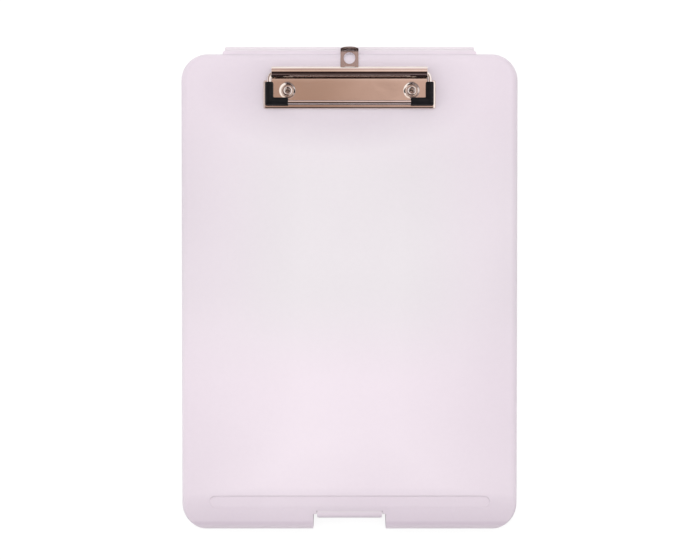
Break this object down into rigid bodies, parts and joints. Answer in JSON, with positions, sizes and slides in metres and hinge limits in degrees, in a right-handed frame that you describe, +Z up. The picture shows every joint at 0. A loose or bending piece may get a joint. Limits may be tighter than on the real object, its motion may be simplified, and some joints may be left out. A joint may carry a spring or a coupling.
{
  "type": "storage clipboard box",
  "caption": "Shallow translucent tray whose hinged lid is a clipboard with a low wire clip, a front latch flap in a finger notch and a pull-out hanging tab.",
  "frame": {"origin": "centre of the whole part's box, on the plane that the closed box lies on", "axes": "+X to the right seen from above with the clip at the far end, +Y from the finger notch to the hinge and clip, +Z up out of the writing face"},
  "size_m": [0.235, 0.3384, 0.0292],
  "materials": {
    "frosted_tray": "translucent frosted polypropylene, satin",
    "frosted_board": "translucent frosted polypropylene, satin",
    "frosted_strip": "translucent frosted polypropylene, satin",
    "frosted_flap": "translucent frosted polypropylene, satin",
    "frosted_hinge": "thin bent polypropylene, satin",
    "plated_sheet": "bright nickel plate",
    "plated_wire": "bright nickel plate",
    "plated_rivet": "bright nickel plate",
    "plated_tab": "bright nickel plate",
    "black_rubber": "matt black rubber"
  },
  "bodies": {
    "tray": {"tray": "frosted_tray", "tray_living_hinge": "frosted_hinge"},
    "strip": {"hinge_strip": "frosted_strip"},
    "lid": {"lid_board": "frosted_board", "lid_living_hinge": "frosted_hinge", "latch_living_hinge": "frosted_hinge", "clip_plate": "plated_sheet", "rivet_left": "plated_rivet", "rivet_right": "plated_rivet", "washer_left": "plated_rivet", "washer_right": "plated_rivet"},
    "latch": {"latch_flap": "frosted_flap"},
    "bail": {"wire_bail": "plated_wire", "grip_left": "black_rubber", "grip_right": "black_rubber"},
    "hanger": {"hanging_tab": "plated_tab"}
  },
  "joints": [
    {"name": "strip_fold", "type": "hinge", "parent": "tray", "child": "strip", "pos_m": [0, 0.167, 0.0032], "axis": [-1, 0, 0], "range_deg": [0, 78], "deforming": ["tray_living_hinge"]},
    {"name": "lid_fold", "type": "hinge", "parent": "strip", "child": "lid", "pos_m": [0, 0.167, 0.0136], "axis": [-1, 0, 0], "range_deg": [0, 78], "deforming": ["lid_living_hinge"]},
    {"name": "latch_lift", "type": "hinge", "parent": "lid", "child": "latch", "pos_m": [0, -0.1565, 0.01882], "axis": [-1, 0, 0], "range_deg": [0, 100], "deforming": ["latch_living_hinge"]},
    {"name": "bail_lift", "type": "hinge", "parent": "lid", "child": "bail", "pos_m": [0, 0.1508, 0.0253], "axis": [-1, 0, 0], "range_deg": [0, 100], "stiffness_Nm_per_rad": 0.15, "springref_deg": -57.3},
    {"name": "hanger_slide", "type": "slide", "parent": "lid", "child": "hanger", "axis": [0, 1, 0], "range_m": [0, 0.015]}
  ],
  "couplings": [
    {"joint": "strip_fold", "follows": "lid_fold", "ratio": 1}
  ]
}
